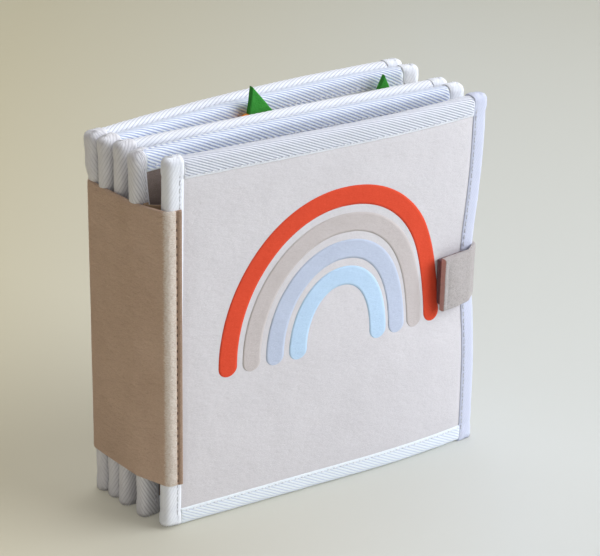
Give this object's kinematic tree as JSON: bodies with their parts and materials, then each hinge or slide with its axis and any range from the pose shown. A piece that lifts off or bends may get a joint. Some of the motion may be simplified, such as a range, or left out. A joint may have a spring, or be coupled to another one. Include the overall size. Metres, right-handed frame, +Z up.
{
  "type": "quiet book",
  "caption": "Soft felt quiet book: padded square covers and leaves bound by a felt spine band, held shut by a strap round the fore-edge.",
  "frame": {"origin": "middle of the bounding box, on the surface the book stands on", "axes": "+X from the spine to the fore-edge, +Y from the front cover to the back cover, +Z up"},
  "size_m": [0.212, 0.087, 0.2105],
  "materials": {
    "cover_felt": "matte",
    "lining_felt": "matte",
    "brown_felt": "matte",
    "page_felt": "matte",
    "edge_tape": "matte",
    "band_felt": "matte",
    "strip_felt": "matte",
    "strap_felt": "matte",
    "patch": "matte",
    "red_print": "matte",
    "taupe_print": "matte",
    "grey_blue_print": "matte",
    "light_blue_print": "matte",
    "orange_felt": "matte",
    "green_felt": "matte",
    "pocket_felt": "matte"
  },
  "bodies": {
    "leaves": {"spine_band": "band_felt", "front_leaf_front_felt": "brown_felt", "front_leaf_rear_felt": "page_felt", "front_leaf_top_tape": "edge_tape", "front_leaf_bottom_tape": "edge_tape", "front_leaf_spine_tape": "edge_tape", "front_leaf_edge_tape": "edge_tape", "middle_leaf_front_felt": "page_felt", "middle_leaf_rear_felt": "page_felt", "middle_leaf_top_tape": "edge_tape", "middle_leaf_bottom_tape": "edge_tape", "middle_leaf_spine_tape": "edge_tape", "middle_leaf_edge_tape": "edge_tape", "back_leaf_front_felt": "page_felt", "back_leaf_rear_felt": "page_felt", "back_leaf_top_tape": "edge_tape", "back_leaf_bottom_tape": "edge_tape", "back_leaf_spine_tape": "edge_tape", "back_leaf_edge_tape": "edge_tape", "hinge_strip_front_cover": "strip_felt", "hinge_strip_front_leaf": "strip_felt", "hinge_strip_middle_leaf": "strip_felt", "hinge_strip_back_cover": "strip_felt", "carrot_pocket": "pocket_felt", "carrot_1_body": "orange_felt", "carrot_1_leaf": "green_felt", "carrot_2_body": "orange_felt", "carrot_2_leaf": "green_felt"},
    "front_cover": {"front_cover_front_felt": "cover_felt", "front_cover_rear_felt": "lining_felt", "front_cover_top_tape": "edge_tape", "front_cover_bottom_tape": "edge_tape", "front_cover_spine_tape": "edge_tape", "front_cover_edge_tape": "edge_tape", "printed_arch_1": "red_print", "printed_arch_2": "taupe_print", "printed_arch_3": "grey_blue_print", "printed_arch_4": "light_blue_print", "loop_patch": "patch"},
    "back_cover": {"back_cover_front_felt": "lining_felt", "back_cover_rear_felt": "cover_felt", "back_cover_top_tape": "edge_tape", "back_cover_bottom_tape": "edge_tape", "back_cover_spine_tape": "edge_tape", "back_cover_edge_tape": "edge_tape", "closure_strap": "strap_felt", "hook_patch": "patch"}
  },
  "joints": [
    {"name": "front_cover_hinge", "type": "hinge", "parent": "leaves", "child": "front_cover", "pos_m": [-0.09212, -0.04011, 0.1], "axis": [0, 0, -1], "range_deg": [0, 180], "deforming": ["spine_band", "hinge_strip_front_cover", "closure_strap", "hook_patch"]},
    {"name": "back_cover_hinge", "type": "hinge", "parent": "leaves", "child": "back_cover", "pos_m": [-0.10699, 0.01912, 0.1], "axis": [0, 0, 1], "range_deg": [0, 180], "deforming": ["spine_band", "hinge_strip_back_cover", "closure_strap", "hook_patch"]}
  ]
}
